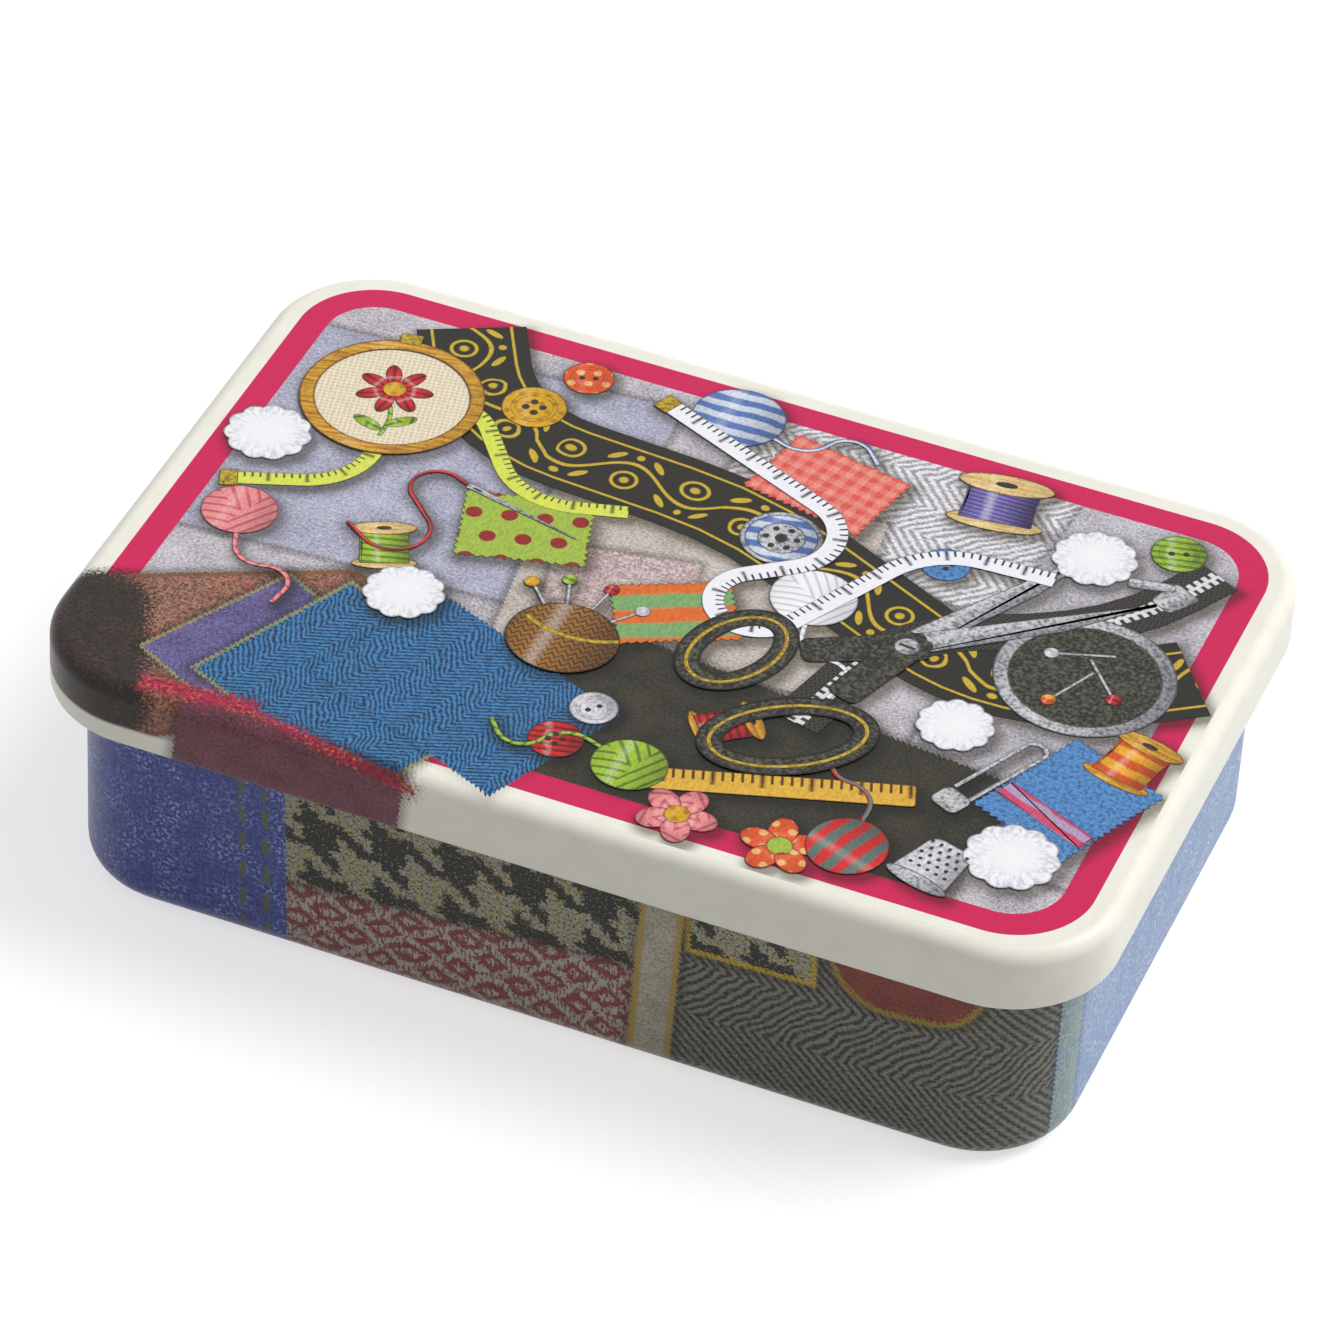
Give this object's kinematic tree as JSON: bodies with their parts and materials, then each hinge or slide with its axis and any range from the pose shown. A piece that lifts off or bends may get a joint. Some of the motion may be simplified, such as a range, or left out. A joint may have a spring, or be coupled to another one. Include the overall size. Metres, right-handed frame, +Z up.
{
  "type": "sewing tin",
  "caption": "Small rectangular tinplate box with rounded corners, patchwork print and a hinged lid with rolled edges, for sewing things.",
  "frame": {"origin": "middle of the underside of the closed tin", "axes": "+X along the length to the right, +Y from the front to the hinged back, +Z up"},
  "size_m": [0.105, 0.0692, 0.0288],
  "materials": {
    "base_print": "satin print of cloth patches on tinplate, bare lacquered metal inside",
    "lid_print": "satin printed tinplate with a rounded shoulder and rolled hem, bare lacquered metal inside",
    "steel_wire": "bright drawn wire"
  },
  "bodies": {
    "base": {"tin_base": "base_print"},
    "lid": {"tin_lid": "lid_print", "hinge_wire": "steel_wire"}
  },
  "joints": [
    {"name": "lid_hinge", "type": "hinge", "parent": "base", "child": "lid", "pos_m": [0, 0.03385, 0.02275], "axis": [-1, 0, 0], "range_deg": [0, 115]}
  ]
}
